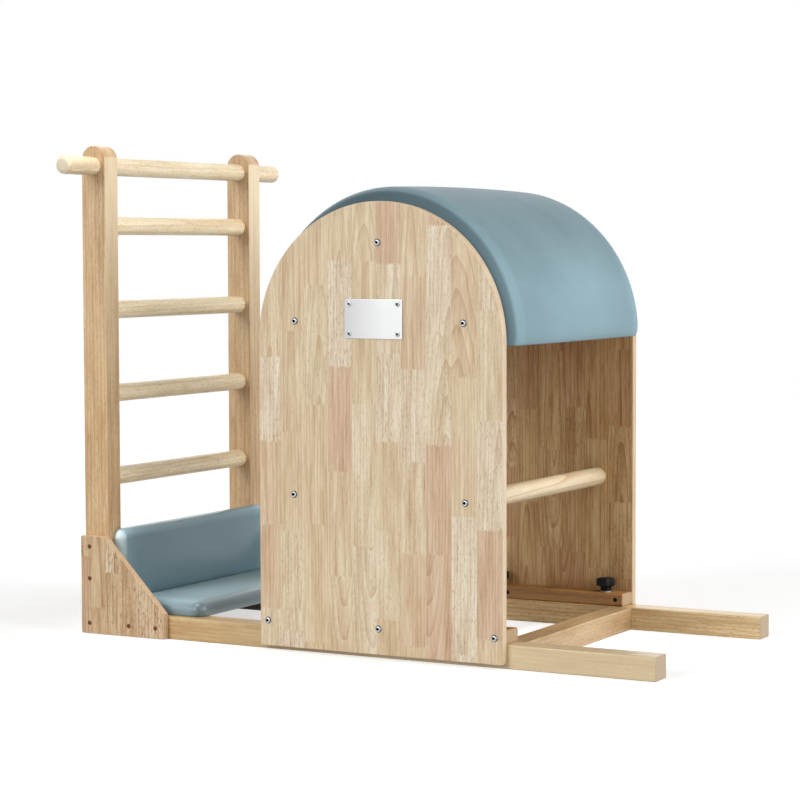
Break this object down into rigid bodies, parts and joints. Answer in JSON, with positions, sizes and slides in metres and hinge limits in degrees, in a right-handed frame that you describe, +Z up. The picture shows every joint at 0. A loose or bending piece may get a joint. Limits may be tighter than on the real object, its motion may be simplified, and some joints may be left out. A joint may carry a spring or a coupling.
{
  "type": "pilates ladder barrel",
  "caption": "Free-standing wooden ladder barrel: a padded arched barrel that slides along a base frame and clamps with star knobs, facing a ladder with a low padded seat",
  "frame": {"origin": "on the floor under the middle of the object's overall box, midway along and between the two rails", "axes": "+X runs along the rails from the ladder to their open front end, +Y to the left of a user who sits at the ladder and faces the barrel, +Z up"},
  "size_m": [1.286, 0.82, 1.0147],
  "materials": {
    "laminate": "satin",
    "timber": "satin",
    "plywood": "matte",
    "dark_wood": "matte",
    "upholstery": "satin",
    "chrome": "polished",
    "steel": "brushed",
    "knob_plastic": "matte"
  },
  "bodies": {
    "base": {"right_rail": "timber", "left_rail": "timber", "front_cross_rail": "timber", "rear_cross_rail": "timber", "rail_insert_front_right": "steel", "rail_insert_rear_right": "steel", "rail_insert_front_left": "steel", "rail_insert_rear_left": "steel", "right_upright": "timber", "left_upright": "timber", "top_handle": "timber", "rung_1": "timber", "rung_2": "timber", "rung_3": "timber", "rung_4": "timber", "right_gusset": "laminate", "left_gusset": "laminate", "seat_board": "plywood", "seat_cushion": "upholstery", "back_board": "plywood", "back_cushion": "upholstery", "seat_batten": "dark_wood"},
    "barrel": {"right_side_panel": "laminate", "left_side_panel": "laminate", "right_cleat": "timber", "left_cleat": "timber", "right_cap_screw_1": "chrome", "right_cap_screw_2": "chrome", "right_cap_screw_3": "chrome", "right_cap_screw_4": "chrome", "right_cap_screw_5": "chrome", "right_cap_screw_6": "chrome", "right_cap_screw_7": "chrome", "right_cap_screw_8": "chrome", "left_cap_screw_1": "chrome", "left_cap_screw_2": "chrome", "left_cap_screw_3": "chrome", "left_cap_screw_4": "chrome", "left_cap_screw_5": "chrome", "left_cap_screw_6": "chrome", "left_cap_screw_7": "chrome", "left_cap_screw_8": "chrome", "front_crossbar": "timber", "rear_crossbar": "timber", "right_former": "plywood", "left_former": "plywood", "middle_former": "plywood", "front_edge_batten": "timber", "rear_edge_batten": "timber", "barrel_shell": "plywood", "barrel_cushion": "upholstery", "name_plate": "steel"},
    "turning_washer_front_right": {"washer_front_right": "steel"},
    "turning_washer_rear_right": {"washer_rear_right": "steel"},
    "turning_washer_front_left": {"washer_front_left": "steel"},
    "turning_washer_rear_left": {"washer_rear_left": "steel"},
    "clamp_knob_front_right": {"knob_front_right": "knob_plastic"},
    "clamp_knob_rear_right": {"knob_rear_right": "knob_plastic"},
    "clamp_knob_front_left": {"knob_front_left": "knob_plastic"},
    "clamp_knob_rear_left": {"knob_rear_left": "knob_plastic"}
  },
  "joints": [
    {"name": "barrel_slide", "type": "slide", "parent": "base", "child": "barrel", "axis": [1, 0, 0], "range_m": [0, 0.19]},
    {"name": "front_right_knob_turn", "type": "hinge", "parent": "base", "child": "turning_washer_front_right", "pos_m": [0.2876, -0.2775, 0.08], "axis": [0, 0, 1], "range_deg": [0, 720]},
    {"name": "rear_right_knob_turn", "type": "hinge", "parent": "base", "child": "turning_washer_rear_right", "pos_m": [0.0376, -0.2775, 0.08], "axis": [0, 0, 1], "range_deg": [0, 720]},
    {"name": "front_left_knob_turn", "type": "hinge", "parent": "base", "child": "turning_washer_front_left", "pos_m": [0.2876, 0.2775, 0.08], "axis": [0, 0, 1], "range_deg": [0, 720]},
    {"name": "rear_left_knob_turn", "type": "hinge", "parent": "base", "child": "turning_washer_rear_left", "pos_m": [0.0376, 0.2775, 0.08], "axis": [0, 0, 1], "range_deg": [0, 720]},
    {"name": "front_right_knob_lift", "type": "slide", "parent": "turning_washer_front_right", "child": "clamp_knob_front_right", "axis": [0, 0, 1], "range_m": [0, 0.0025]},
    {"name": "rear_right_knob_lift", "type": "slide", "parent": "turning_washer_rear_right", "child": "clamp_knob_rear_right", "axis": [0, 0, 1], "range_m": [0, 0.0025]},
    {"name": "front_left_knob_lift", "type": "slide", "parent": "turning_washer_front_left", "child": "clamp_knob_front_left", "axis": [0, 0, 1], "range_m": [0, 0.0025]},
    {"name": "rear_left_knob_lift", "type": "slide", "parent": "turning_washer_rear_left", "child": "clamp_knob_rear_left", "axis": [0, 0, 1], "range_m": [0, 0.0025]}
  ],
  "couplings": [
    {"joint": "front_right_knob_lift", "follows": "front_right_knob_turn", "m_per_rad": 0.00019894},
    {"joint": "rear_right_knob_lift", "follows": "rear_right_knob_turn", "m_per_rad": 0.00019894},
    {"joint": "front_left_knob_lift", "follows": "front_left_knob_turn", "m_per_rad": 0.00019894},
    {"joint": "rear_left_knob_lift", "follows": "rear_left_knob_turn", "m_per_rad": 0.00019894}
  ]
}
